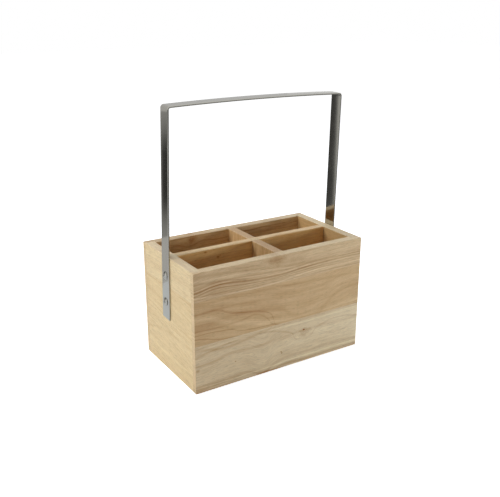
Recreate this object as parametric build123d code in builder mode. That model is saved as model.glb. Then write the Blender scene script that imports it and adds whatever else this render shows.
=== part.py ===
"""Wooden utensil caddy: four compartments under one bent steel strap handle.

The box is made of edge-glued hardwood boards. The front and back panels run the full length,
and the end panels sit in rabbets along their ends, which leave a narrow lap of end grain at each
corner. Two dividers of the same wood cross at a half-lap. The strap handle is screwed through
the end panels into the end grain of the long divider.

Millimetres. +X runs along the length, -Y is the front, +Z is up. The origin is on the
underside, in the middle of the box.
"""
import os
from math import cos, radians, sin

from build123d import *

os.makedirs("parts", exist_ok=True)

# ---------------------------------------------------------------- driving dimensions
length = 240.0                # box, outside, along X
depth = 132.0                 # box, outside, along Y
height = 150.0                # box, underside to rim
wall = 12.0                   # thickness of the boards in all four walls
floor_thickness = 9.0         # thickness of the two boards of the floor
corner_lap = 7.0              # what a rabbet leaves of the face panels, over the end panels
long_divider = 10.0           # thickness of the divider that runs along X
cross_divider = 11.0          # thickness of the divider that runs along Y
divider_back = 1.5            # the long divider stands this far behind the middle of the box
divider_right = 1.5           # the cross divider stands this far to the right of the middle
arris = 0.8                   # radius of every sanded edge of the glued-up box

# widths of the boards that are glued edge to edge; the last of each panel takes what is left
face_top_board = 35.0         # front and back panels, from the rim down
face_middle_board = 54.0
end_top_board = 37.5          # end panels, from the rim down
end_middle_board = 52.5
long_upper_board = 87.0       # long divider, from the rim down
cross_upper_board = 54.0      # cross divider, from the rim down

lap_gap = 0.1                 # play on each side where the two dividers cross

strap_width = 18.0            # flat steel bar of the handle
strap_thickness = 2.0
strap_chamfer = 0.3           # broken edges of the bar
strap_bend = 4.0              # outside radius of the two top bends
rim_bend = 150.0              # the slight bend where a leg leaves the box
strap_below = 39.0            # from the middle of the two screws down to the end of the bar
handle_rise = 215.0           # from the middle of the two screws up to the top corners
handle_arch = 2.0             # how much the top bar is crowned between its corners
handle_draw_in = 2.5          # each leg draws in this much between the rim and the top
handle_lean = 2.2             # degrees that the handle leans to the front

screws_below_rim = 40.0       # from the rim down to the middle of each leg's two screws
screw_spacing = 34.0          # between the two screws of a leg
screw_length = 30.0           # under the head
screw_shank_radius = 2.1
screw_tip = 5.0               # length of the point
screw_head_radius = 5.0
screw_head_height = 2.3
recess_length = 4.8           # cross recess in the head
recess_width = 1.0
recess_depth = 1.3
recess_turns = (12.0, 40.0, 63.0, 28.0)   # degrees, as the screws happened to stop
strap_hole_play = 0.2         # round a screw in the strap
wood_hole_play = 0.05         # round a screw in the wood
wood_hole_end_play = 1.0      # past the point of a screw

# ---------------------------------------------------------------- shared places
inside_x = length / 2 - wall
inside_y = depth / 2 - wall
lap_y = depth / 2 - corner_lap
half_long = long_divider / 2
half_cross = cross_divider / 2
screws_middle = height - screws_below_rim
SIDES = (-1, 1)

# The handle lies in a plane of its own: X along the box, Y up the legs, leaning forward.
handle_plane = Plane(
    origin=(0, divider_back, screws_middle),
    x_dir=(1, 0, 0),
    z_dir=(0, -cos(radians(handle_lean)), -sin(radians(handle_lean))),
)
rim_on_handle = screws_below_rim / cos(radians(handle_lean))


def save(piece, label):
    """Name a finished piece and write its STEP file."""
    piece.label = label
    export_step(piece, f"parts/{label}.step")
    print(f"{label:24s} solids {len(piece.solids())}  volume {piece.volume / 1000:8.2f} cm3")


# ---------------------------------------------------------------- the sanded outline of the box
# The box is sanded after it is glued up, so its edges are rounded once, on the whole.
# Every board below is the part of this outline that lies in that board.
with BuildPart() as sanded_box:
    with BuildSketch():
        RectangleRounded(length, depth, arris)
    extrude(amount=height)
    with BuildSketch(Plane.XY.offset(floor_thickness)):
        for side_x in SIDES:
            for side_y in SIDES:
                edge_x = divider_right + side_x * half_cross
                edge_y = divider_back + side_y * half_long
                size_x = abs(side_x * inside_x - edge_x)
                size_y = abs(side_y * inside_y - edge_y)
                with Locations((edge_x + side_x * size_x / 2, edge_y + side_y * size_y / 2)):
                    Rectangle(size_x, size_y)
    extrude(amount=height - floor_thickness, mode=Mode.SUBTRACT)
    fillet(sanded_box.edges().group_by(Axis.Z)[-1], radius=arris)
    fillet(sanded_box.edges().group_by(Axis.Z)[0], radius=arris)

# The rabbets, which the end panels fill, in all four corners and at full height.
with BuildPart() as rabbets:
    with BuildSketch():
        for side in SIDES:
            with Locations((side * (length - wall) / 2, 0)):
                Rectangle(wall, 2 * lap_y)
    extrude(amount=height)

# ---------------------------------------------------------------- screws of the handle
# Each plane stands on the outer face of the strap, under a screw head, and faces outwards.
screw_planes = [
    Plane(
        origin=handle_plane.from_local_coords(
            (side * (length / 2 + strap_thickness), up * screw_spacing / 2, 0)
        ),
        z_dir=(side, 0, 0),
    )
    for side in SIDES
    for up in SIDES
]

head_crown_radius = (screw_head_radius**2 + screw_head_height**2) / (2 * screw_head_height)

with BuildPart() as plain_screw:
    with BuildSketch(Plane.XZ):
        with BuildLine():
            Polyline(
                (0, screw_head_height),
                (0, -screw_length),
                (screw_shank_radius, screw_tip - screw_length),
                (screw_shank_radius, 0),
                (screw_head_radius, 0),
            )
            RadiusArc((screw_head_radius, 0), (0, screw_head_height), -head_crown_radius)
        make_face()
    revolve(axis=Axis.Z)
    with BuildSketch(Plane.XY.offset(screw_head_height)):
        Rectangle(recess_length, recess_width)
        Rectangle(recess_width, recess_length)
    extrude(amount=-recess_depth, mode=Mode.SUBTRACT)

with BuildPart() as handle_screws:
    for plane, turn in zip(screw_planes, recess_turns):
        with Locations(plane.location * Rotation(0, 0, turn)):
            add(plain_screw.part)
save(handle_screws.part, "handle_screws")

with BuildPart() as wood_screw_holes:
    for plane in screw_planes:
        with BuildSketch(plane):
            Circle(screw_shank_radius + wood_hole_play)
    extrude(amount=-(screw_length + wood_hole_end_play))

# ---------------------------------------------------------------- strap handle
outer_x = length / 2 + strap_thickness
top_x = outer_x - handle_draw_in

with BuildPart() as handle_strap:
    with BuildSketch(handle_plane):
        with BuildLine() as strap_line:
            Polyline((-outer_x, -strap_below), (-outer_x, rim_on_handle), (-top_x, handle_rise))
            ThreePointArc(
                (-top_x, handle_rise), (0, handle_rise + handle_arch), (top_x, handle_rise)
            )
            Polyline((top_x, handle_rise), (outer_x, rim_on_handle), (outer_x, -strap_below))
            fillet(strap_line.vertices().sort_by(Axis.Y)[-2:], radius=strap_bend)
            fillet(strap_line.vertices().sort_by(Axis.Y)[2:4], radius=rim_bend)
            offset(amount=strap_thickness, side=Side.RIGHT)
        make_face()
    extrude(amount=strap_width / 2, both=True)
    chamfer(handle_strap.edges().filter_by(handle_plane), length=strap_chamfer)
    for plane in screw_planes:
        with BuildSketch(plane):
            Circle(screw_shank_radius + strap_hole_play)
    extrude(amount=-strap_thickness, mode=Mode.SUBTRACT)
save(handle_strap.part, "handle_strap")


# ---------------------------------------------------------------- boards of the walls and floor
def board(label, span_x, span_y, span_z, rabbeted=False, slot_z=None):
    """One board, from its low to its high side each way, sanded and drilled with the box.

    slot_z is the height span of the slot that the other divider slides into, if it has one.
    """
    with BuildPart() as piece:
        with BuildSketch(Plane.XY.offset(span_z[0])):
            with Locations(((span_x[0] + span_x[1]) / 2, (span_y[0] + span_y[1]) / 2)):
                Rectangle(span_x[1] - span_x[0], span_y[1] - span_y[0])
        extrude(amount=span_z[1] - span_z[0])
        add(sanded_box.part, mode=Mode.INTERSECT)
        add(wood_screw_holes.part, mode=Mode.SUBTRACT)
        if rabbeted:
            add(rabbets.part, mode=Mode.SUBTRACT)
        if slot_z:
            with BuildSketch(Plane.XY.offset(slot_z[0])):
                with Locations((divider_right, divider_back)):
                    Rectangle(cross_divider + 2 * lap_gap, long_divider + 2 * lap_gap)
            extrude(amount=slot_z[1] - slot_z[0], mode=Mode.SUBTRACT)
    save(piece.part, label)


def panel(name, span_x, span_y, top_board, middle_board, rabbeted):
    """A wall of three boards glued edge to edge, from the underside to the rim."""
    lower_seam = height - top_board - middle_board
    upper_seam = height - top_board
    board(f"{name}_board_bottom", span_x, span_y, (0, lower_seam), rabbeted)
    board(f"{name}_board_middle", span_x, span_y, (lower_seam, upper_seam), rabbeted)
    board(f"{name}_board_top", span_x, span_y, (upper_seam, height), rabbeted)


full_length = (-length / 2, length / 2)
between_ends = (-inside_x, inside_x)
between_faces = (-inside_y, inside_y)
between_laps = (-lap_y, lap_y)
panel("front", full_length, (-depth / 2, -inside_y), face_top_board, face_middle_board, True)
panel("back", full_length, (inside_y, depth / 2), face_top_board, face_middle_board, True)
panel("left", (-length / 2, -inside_x), between_laps, end_top_board, end_middle_board, False)
panel("right", (inside_x, length / 2), between_laps, end_top_board, end_middle_board, False)

# the floor's two boards meet under the middle of the long divider
board("floor_board_front", between_ends, (-inside_y, divider_back), (0, floor_thickness))
board("floor_board_back", between_ends, (divider_back, inside_y), (0, floor_thickness))

# ---------------------------------------------------------------- half-lapped dividers
# Each divider is two boards glued edge to edge. The long one is slotted from the rim and the
# cross one from the floor, both to the same height, and each slot stays in the wider board.
lap_height = (floor_thickness + height) / 2
long_divider_y = (divider_back - half_long, divider_back + half_long)
long_seam = height - long_upper_board
board("long_divider_lower", between_ends, long_divider_y, (floor_thickness, long_seam))
board(
    "long_divider_upper",
    between_ends,
    long_divider_y,
    (long_seam, height),
    slot_z=(lap_height, height),
)

cross_divider_x = (divider_right - half_cross, divider_right + half_cross)
cross_seam = height - cross_upper_board
board(
    "cross_divider_lower",
    cross_divider_x,
    between_faces,
    (floor_thickness, cross_seam),
    slot_z=(floor_thickness, lap_height),
)
board("cross_divider_upper", cross_divider_x, between_faces, (cross_seam, height))
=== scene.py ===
# %% [markdown]
# # A wooden utensil caddy with a bent steel handle
#
# The object is an open box of pale hardwood boards, split into four compartments by two crossed
# dividers, and carried by a handle bent from one flat steel bar. Its solids are made elsewhere,
# at their real size, and this lesson gives them their looks. Everything is in metres, in the
# solids' own frame: +X runs along the box, -Y is its front and +Z is up.

# %% The fixed frame
from math import atan2, cos, hypot, pi, radians, sin, tan

import bpy
import numpy as np
from mathutils import Matrix, Vector


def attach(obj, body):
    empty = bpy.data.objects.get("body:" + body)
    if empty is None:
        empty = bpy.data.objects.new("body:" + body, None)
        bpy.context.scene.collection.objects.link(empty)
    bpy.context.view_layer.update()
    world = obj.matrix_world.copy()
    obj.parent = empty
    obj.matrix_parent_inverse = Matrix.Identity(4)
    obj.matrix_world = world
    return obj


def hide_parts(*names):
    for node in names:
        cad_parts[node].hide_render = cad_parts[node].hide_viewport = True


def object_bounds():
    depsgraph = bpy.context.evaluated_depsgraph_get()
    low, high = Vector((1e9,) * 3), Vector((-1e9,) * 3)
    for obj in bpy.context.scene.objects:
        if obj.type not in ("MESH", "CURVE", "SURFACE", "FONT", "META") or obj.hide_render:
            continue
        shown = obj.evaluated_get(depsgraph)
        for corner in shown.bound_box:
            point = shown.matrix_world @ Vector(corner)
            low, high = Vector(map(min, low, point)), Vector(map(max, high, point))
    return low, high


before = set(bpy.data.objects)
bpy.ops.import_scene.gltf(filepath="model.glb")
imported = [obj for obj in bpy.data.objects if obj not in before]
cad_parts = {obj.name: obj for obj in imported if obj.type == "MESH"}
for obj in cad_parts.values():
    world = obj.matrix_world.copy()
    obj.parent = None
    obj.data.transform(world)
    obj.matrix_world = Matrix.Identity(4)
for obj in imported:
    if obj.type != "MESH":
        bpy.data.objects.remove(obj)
solid_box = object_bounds()
MM = 0.001
BODY = "root"
low, high = solid_box
print("nodes:", sorted(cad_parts))
print("box:", [round(v, 4) for v in low], [round(v, 4) for v in high])

# %% [markdown]
# ## The camera
#
# The camera comes first, because everything else is compared through it. A camera on a tripod is
# described by what it looks at, how far away it stands, and its azimuth, elevation and roll. These
# five values were found by laying the corners of the box over the photograph.

# %% Camera
PHOTO_WIDTH = 500                       # pixels
FOCAL_PIXELS = 696.5
SENSOR_WIDTH = 36.0
camera_azimuth = radians(-32.43)        # seen from the front, towards the left
camera_elevation = radians(19.34)
camera_roll = radians(0.16)
camera_distance = 872.0 * MM
camera_target = Vector((-4.8, 0.0, 138.8)) * MM


def tripod_matrix(target, distance, azimuth, elevation, roll):
    """The camera's place and turn: its own Z axis points back from the target."""
    back = Vector(
        (sin(azimuth) * cos(elevation), -cos(azimuth) * cos(elevation), sin(elevation))
    )
    right = Vector((cos(azimuth), sin(azimuth), 0.0))
    up = back.cross(right)
    turned_right = right * cos(roll) + up * sin(roll)
    turned_up = up * cos(roll) - right * sin(roll)
    turn = Matrix((turned_right, turned_up, back)).transposed().to_4x4()
    return Matrix.Translation(target + back * distance) @ turn


camera_data = bpy.data.cameras.new("camera")
camera_data.sensor_fit = "HORIZONTAL"
camera_data.sensor_width = SENSOR_WIDTH
camera_data.lens = FOCAL_PIXELS / PHOTO_WIDTH * SENSOR_WIDTH
camera_data.clip_start = 0.01
camera = bpy.data.objects.new("camera", camera_data)
camera.matrix_world = tripod_matrix(
    camera_target, camera_distance, camera_azimuth, camera_elevation, camera_roll
)
bpy.context.scene.collection.objects.link(camera)
bpy.context.scene.camera = camera
print("lens:", round(camera_data.lens, 2), "mm, at", [round(v, 3) for v in camera.location])

# %% [markdown]
# ## Small helpers for node materials
#
# A material is a graph of nodes. Written out in full, each node takes four or five lines, and the
# recipe is lost among them. These helpers add a node, set or link its inputs, and give back the
# output, so that a material below reads as a list of what it does to the wood or the steel.

# %% Node helpers
def add_node(tree, kind, inputs, output=0, **settings):
    """Add a node, set its own settings, fill its inputs, and give back one of its outputs."""
    node = tree.nodes.new(kind)
    for name, value in settings.items():
        setattr(node, name, value)
    for key, value in inputs.items():
        if isinstance(value, bpy.types.NodeSocket):
            tree.links.new(value, node.inputs[key])
        else:
            node.inputs[key].default_value = value
    return node.outputs[output]


def calculate(tree, operation, *values, clamp=False):
    """One Math node."""
    return add_node(
        tree, "ShaderNodeMath", dict(enumerate(values)), operation=operation, use_clamp=clamp
    )


def scaled(tree, vector, factors):
    """A vector with each of its parts multiplied by its own factor."""
    return add_node(tree, "ShaderNodeVectorMath", {0: vector, 1: factors}, operation="MULTIPLY")


def noise(tree, vector, factors, detail=2.0, roughness=0.5, distortion=0.0):
    """Soft noise from 0 to 1 about 0.5, squeezed or stretched by the three factors."""
    stretched = scaled(tree, vector, factors)
    return add_node(
        tree,
        "ShaderNodeTexNoise",
        {
            "Vector": stretched,
            "Scale": 1.0,
            "Detail": detail,
            "Roughness": roughness,
            "Distortion": distortion,
        },
    )


def between(tree, value, low_value, high_value, low_result=0.0, high_result=1.0, smooth=True):
    """A value mapped from one span to another, held at both ends."""
    return add_node(
        tree,
        "ShaderNodeMapRange",
        {0: value, 1: low_value, 2: high_value, 3: low_result, 4: high_result},
        interpolation_type="SMOOTHSTEP" if smooth else "LINEAR",
    )


def mix_colours(tree, factor, first, second, how="MIX"):
    """Two colours mixed by a factor. The Mix node keeps its colour sockets at 6 and 7."""
    return add_node(
        tree,
        "ShaderNodeMix",
        {0: factor, 6: first, 7: second},
        output=2,
        data_type="RGBA",
        blend_type=how,
    )


def colour(red, green, blue):
    """A colour written as it looks on a screen, from 0 to 255, made linear for the shader."""
    shown = np.array((red, green, blue)) / 255
    linear = np.where(shown <= 0.04045, shown / 12.92, ((shown + 0.055) / 1.055) ** 2.4)
    return (*linear.tolist(), 1.0)


def new_material(name):
    """An empty node material with its shader and output joined."""
    material = bpy.data.materials.new(name)
    material.use_nodes = True
    tree = material.node_tree
    shader = next(n for n in tree.nodes if n.type == "BSDF_PRINCIPLED")
    return material, tree, shader


print("helpers ready")

# %% [markdown]
# ## The studio
#
# The object stands on a white sweep. A pale floor under soft light would come out grey, so the
# floor gets a lift that only the camera sees, and the wood is not lit by it. The floor still
# darkens where the object stands in its light, which is what keeps the shadow.

# %% Floor
FLOOR_RADIUS = 6.0
FLOOR_LIFT = 0.85                    # what the camera sees on top of the light that falls on it


def white_floor():
    """A pale matt floor with a lift of its own that only the camera sees."""
    material, tree, shader = new_material("white_sweep")
    shader.inputs["Base Color"].default_value = colour(232, 232, 232)
    shader.inputs["Roughness"].default_value = 0.9
    shader.inputs["Specular IOR Level"].default_value = 0.1
    path = tree.nodes.new("ShaderNodeLightPath")
    lift = calculate(tree, "MULTIPLY", path.outputs["Is Camera Ray"], FLOOR_LIFT)
    shader.inputs["Emission Color"].default_value = (1.0, 1.0, 1.0, 1.0)
    tree.links.new(lift, shader.inputs["Emission Strength"])
    return material


floor_mesh = bpy.data.meshes.new("floor")
corners = np.array([(-1, -1, 0), (1, -1, 0), (1, 1, 0), (-1, 1, 0)]) * FLOOR_RADIUS
floor_mesh.from_pydata(corners.tolist(), [], [(0, 1, 2, 3)])
floor = bpy.data.objects.new("floor", floor_mesh)
floor.location.z = low[2]
floor.data.materials.append(white_floor())
bpy.context.scene.collection.objects.link(floor)
print("floor at height", round(low[2], 4))

# %% [markdown]
# ## Light
#
# The left side of the box is the brightest, the rim comes next and the front is the darkest, with
# soft shadows everywhere. That is one large softbox at the left, a bluish one overhead, a smaller
# one low at the right of the front, and the glow of the white room. Each face then gets about the
# light at which a colour renders as it is written. The lamps are left out of reflections, because
# they would burn white spots into the steel. What the steel shows is set up by itself, further on.

# %% Lights
def softbox(name, place, aim, size, watts, tint=(1.0, 1.0, 1.0)):
    """A square area light at a place, turned towards what it lights."""
    data = bpy.data.lights.new(name, "AREA")
    data.shape = "SQUARE"
    data.size = size
    data.energy = watts
    data.color = tint
    light = bpy.data.objects.new(name, data)
    light.location = place
    light.rotation_euler = (Vector(aim) - Vector(place)).to_track_quat("-Z", "Y").to_euler()
    light.visible_glossy = False
    bpy.context.scene.collection.objects.link(light)


box_middle = (0.0, 0.0, 0.09)
softbox("key_left", (-1.45, 0.4, 0.95), box_middle, 0.8, 15.9)
softbox("overhead", (-0.1, 0.42, 1.5), box_middle, 0.9, 13.2, (0.76, 0.86, 1.0))
softbox("fill_low", (1.15, -1.2, 0.16), box_middle, 0.5, 14.6)

world = bpy.data.worlds.new("white_room")
bpy.context.scene.world = world
world.use_nodes = True
background = next(n for n in world.node_tree.nodes if n.type == "BACKGROUND")
path = world.node_tree.nodes.new("ShaderNodeLightPath")
ROOM_GLOW = 0.18
seen = calculate(
    world.node_tree, "MAXIMUM", path.outputs["Is Camera Ray"], path.outputs["Is Glossy Ray"]
)
seen = calculate(world.node_tree, "MAXIMUM", seen, path.outputs["Is Transmission Ray"])
room = between(world.node_tree, seen, 0.0, 1.0, ROOM_GLOW, 1.0, smooth=False)
background.inputs["Color"].default_value = (1.0, 1.0, 1.0, 1.0)
world.node_tree.links.new(room, background.inputs["Strength"])
bpy.context.scene.view_settings.view_transform = "Standard"
print("room glow", ROOM_GLOW)

# %% [markdown]
# ## Rubberwood
#
# The boards are a pale, plain hardwood: cream to tan growth layers, brown streaks that wander
# along the grain, short fine pore lines, and end grain with a colour of its own. A board is cut
# out of a tree, so its pattern is best worked out in space, not on each face: the figure on a
# face then runs on over the edge and becomes rings on the end grain, and it needs no UV map. The
# group below gets a place in millimetres along, across and through the board, and a distance
# across that has already been bent to follow the grain. Faces inside the box are made warmer,
# as light that has bounced between wooden walls makes them.

# %% The wood group
PAINTED_BOUNCE_WARMTH = (1.0, 0.90, 0.75, 1.0)


def make_wood_group():
    """Growth layers, streaks, fibres and pores, from a place in a board to a colour and height.

    Layers are a one-way noise of the distance from the heart of the tree. Streaks, fibres and
    pores are noise stretched along the bent grain, each at its own width.
    """
    group = bpy.data.node_groups.new("rubberwood", "ShaderNodeTree")
    sockets = (
        ("Place", "NodeSocketVector", None),
        ("Flow", "NodeSocketFloat", 0.0),
        ("Seed", "NodeSocketFloat", 0.0),
        ("Heart", "NodeSocketVector", (0.0, 0.0, 45.0)),
        ("Layer", "NodeSocketFloat", 3.0),
        ("Figure", "NodeSocketFloat", 0.5),
        ("Pale", "NodeSocketColor", (0.7, 0.6, 0.4, 1.0)),
        ("Brown", "NodeSocketColor", (0.5, 0.35, 0.2, 1.0)),
        ("Dark marks", "NodeSocketFloat", 0.0),
        ("Pale marks", "NodeSocketFloat", 0.0),
        ("End grain", "NodeSocketFloat", 0.0),
        ("Inside", "NodeSocketFloat", 0.0),
        ("End colour", "NodeSocketColor", (0.7, 0.5, 0.3, 1.0)),
    )
    for name, kind, value in sockets:
        socket = group.interface.new_socket(name, in_out="INPUT", socket_type=kind)
        if value is not None:
            socket.default_value = value
    for name, kind in (
        ("Colour", "NodeSocketColor"),
        ("Roughness", "NodeSocketFloat"),
        ("Height", "NodeSocketFloat"),
    ):
        group.interface.new_socket(name, in_out="OUTPUT", socket_type=kind)
    given = group.nodes.new("NodeGroupInput").outputs
    result = group.nodes.new("NodeGroupOutput").inputs

    # each board is cut from its own part of the noise
    shift = add_node(
        group, "ShaderNodeVectorMath", {0: (37.0, 61.0, 83.0), 3: given["Seed"]}, operation="SCALE"
    )
    along, across, through = (
        add_node(group, "ShaderNodeSeparateXYZ", {0: given["Place"]}, output=i) for i in range(3)
    )
    here = add_node(group, "ShaderNodeVectorMath", {0: given["Place"], 1: shift}, operation="ADD")

    # the grain wanders: a slow sway of a few millimetres and a small quick ripple
    sway = calculate(group, "SUBTRACT", noise(group, here, (0.011, 0.028, 0.028), 1.0), 0.5)
    ripple = calculate(group, "SUBTRACT", noise(group, here, (0.05, 0.14, 0.14), 1.0), 0.5)
    bent = calculate(group, "MULTIPLY_ADD", sway, 4.5, given["Flow"])
    bent = calculate(group, "MULTIPLY_ADD", ripple, 1.4, bent)
    grain = add_node(group, "ShaderNodeCombineXYZ", {0: along, 1: bent, 2: through})
    grain_here = add_node(group, "ShaderNodeVectorMath", {0: grain, 1: shift}, operation="ADD")

    # growth layers, round the heart of the tree
    from_heart = add_node(
        group,
        "ShaderNodeVectorMath",
        {0: add_node(group, "ShaderNodeCombineXYZ", {1: bent, 2: through}), 1: given["Heart"]},
        output="Value",
        operation="DISTANCE",
    )
    layer_count = calculate(group, "DIVIDE", from_heart, given["Layer"])
    layer_count = calculate(group, "MULTIPLY_ADD", given["Seed"], 13.7, layer_count)
    layers = add_node(
        group,
        "ShaderNodeTexNoise",
        {"W": layer_count, "Scale": 1.0, "Detail": 2.0, "Roughness": 0.5},
        noise_dimensions="1D",
    )
    layers = between(group, layers, 0.28, 0.74, smooth=False)

    broad = noise(group, grain_here, (0.010, 0.11, 0.07), 2.0, 0.55)
    streaks = noise(group, grain_here, (0.020, 0.75, 0.6), 3.0, 0.66)
    fibres = noise(group, grain_here, (0.055, 1.9, 1.6), 2.0, 0.65)
    blotches = noise(group, here, (0.04, 0.12, 0.1), 3.0, 0.6)
    pore_noise = noise(group, grain_here, (0.16, 3.2, 2.8), 0.0)
    pores = between(group, pore_noise, 0.60, 0.72)

    tone = calculate(group, "SUBTRACT", layers, 0.5)
    tone = calculate(group, "MULTIPLY_ADD", tone, 0.42, 0.36)
    tone = calculate(group, "ADD", tone, calculate(group, "MULTIPLY_ADD", broad, 0.8, -0.4))
    tone = calculate(group, "ADD", tone, calculate(group, "MULTIPLY_ADD", streaks, 1.5, -0.75))
    tone = calculate(group, "ADD", tone, calculate(group, "MULTIPLY_ADD", blotches, 0.9, -0.45))
    tone = calculate(group, "MULTIPLY", tone, given["Figure"])
    tone = calculate(group, "ADD", tone, given["Dark marks"])
    tone = calculate(group, "SUBTRACT", tone, given["Pale marks"])
    tone = calculate(group, "MAXIMUM", tone, -0.35)
    tone = calculate(group, "MINIMUM", tone, 2.0)
    # the Mix node may go a little past its two colours, so the palest wood isn't cut off flat
    wood = add_node(
        group,
        "ShaderNodeMix",
        {0: tone, 6: given["Pale"], 7: given["Brown"]},
        output=2,
        data_type="RGBA",
        clamp_factor=False,
    )
    light = calculate(group, "MULTIPLY_ADD", fibres, 0.40, 0.80)
    light = calculate(group, "MULTIPLY", light, calculate(group, "MULTIPLY_ADD", pores, -0.20, 1.0))
    wood = mix_colours(group, 1.0, wood, light, "MULTIPLY")
    rings = calculate(group, "MULTIPLY", light, calculate(group, "MULTIPLY_ADD", tone, -0.22, 1.07))
    ends = mix_colours(group, 1.0, given["End colour"], rings, "MULTIPLY")
    wood = mix_colours(group, given["End grain"], wood, ends)
    # painted bounce light: faces inside the box are made warmer, as bounced light would make them
    bounce_warmed = mix_colours(group, 1.0, wood, PAINTED_BOUNCE_WARMTH, "MULTIPLY")
    wood = mix_colours(group, given["Inside"], wood, bounce_warmed)
    group.links.new(wood, result["Colour"])

    rough = calculate(group, "MULTIPLY_ADD", fibres, 0.16, 0.44)
    rough = calculate(group, "MULTIPLY_ADD", pores, 0.15, rough)
    group.links.new(rough, result["Roughness"])
    height = calculate(group, "MULTIPLY", fibres, 0.5)
    height = calculate(group, "MULTIPLY_ADD", pores, -0.7, height)
    group.links.new(height, result["Height"])
    return group


wood_group = make_wood_group()
print("wood group:", len(wood_group.nodes), "nodes")

# %% [markdown]
# A board's own figure is drawn on top of that. The eye knows a board by a few things:
# a line of brown grain that sways along it, a paler stripe, a knot. Each line is a curve
# through a few points, in millimetres along and across the board, and the wood is darkened or
# paled where it lies near the curve. A knot pulls the grain into rings round itself.

# %% Grain lines and knots
LINE_SPAN = (-130.0, 130.0)          # mm along a board that the curves cover
LINE_RISE = (-20.0, 160.0)           # mm across
RIM_LINE_HEIGHT = 150.6              # mm; just over the rim, so that it marks the top and no face
RIM_LINE_WIDTH = 1.6


def grain_curve(tree, along, points):
    """The height across the board of a smooth curve through (along, across) points, in mm."""
    start, stop = LINE_SPAN
    bottom, top = LINE_RISE
    share = between(tree, along, start, stop, smooth=False)
    height = add_node(tree, "ShaderNodeFloatCurve", {"Factor": 1.0, "Value": share})
    curve = height.node.mapping.curves[0]
    placed = [((x - start) / (stop - start), (z - bottom) / (top - bottom)) for x, z in points]
    placed = [(0.0, placed[0][1])] + placed + [(1.0, placed[-1][1])]
    while len(curve.points) < len(placed):
        curve.points.new(0.5, 0.5)
    for point, place in zip(curve.points, sorted(placed)):
        point.location = place
    height.node.mapping.update()
    return calculate(tree, "MULTIPLY_ADD", height, top - bottom, bottom)


def grain_line(tree, along, across, points, width, strength):
    """How strongly one drawn grain line marks the wood here: 1 on the curve, 0 beyond its width."""
    off = calculate(tree, "SUBTRACT", across, grain_curve(tree, along, points))
    off = calculate(tree, "ABSOLUTE", off)
    return between(tree, off, width, 0.0, 0.0, strength)


def painted_rim_light(reach, strength):
    """A painted line along the whole rim of a board, from -reach to reach: painted shade where it darkens
    the rim, a painted highlight where it pales it.
    """
    points = ((-reach, RIM_LINE_HEIGHT), (reach, RIM_LINE_HEIGHT))
    return (points, RIM_LINE_WIDTH, strength)


def knot_distance(tree, along, across, knot):
    """Distance from a knot in its own size, where 1 is its edge."""
    x, z, radius_x, radius_z = knot
    offset = add_node(tree, "ShaderNodeCombineXYZ", {0: along, 1: across})
    offset = add_node(
        tree, "ShaderNodeVectorMath", {0: offset, 1: (x, z, 0.0)}, operation="SUBTRACT"
    )
    offset = scaled(tree, offset, (1 / radius_x, 1 / radius_z, 0.0))
    return add_node(tree, "ShaderNodeVectorMath", {0: offset}, output="Value", operation="LENGTH")


print("curves cover", LINE_SPAN, "mm along and", LINE_RISE, "mm across")

# %% [markdown]
# Every board gets a material of its own, because two boards of a glued panel never match. They
# differ in a few numbers only: which way they lie, where the heart of the tree was, how wide and
# strong the layers are, the two colours, and the lines drawn on them. One function takes these
# and joins them to the wood group. It also draws the glue line, a hair of darker wood on both
# sides of each seam and on the outside along the rabbets.

# %% A board's material
GLUE_LINE = 0.22                     # mm to each side of a seam
# which of x, y and z run along, across and through a board
AXES = {"x": (0, 2, 1), "y": (1, 2, 0), "floor": (0, 1, 2), "upright": (2, 1, 0)}
LAP_Y = 59.0                         # mm from the middle to the faces of the rabbets
LAP_LINE = 1.6 * GLUE_LINE
INSIDE_X, INSIDE_Y = 108.0, 54.0     # mm from the middle to the inner faces of the walls
RIM_STARTS = (149.8, 148.6)          # mm; over these heights the rim gives way to the inner faces


def total(tree, values):
    """The sum of several node outputs, or 0 for none."""
    summed = 0.0
    for value in values:
        summed = calculate(tree, "ADD", summed, value)
    return summed


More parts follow.
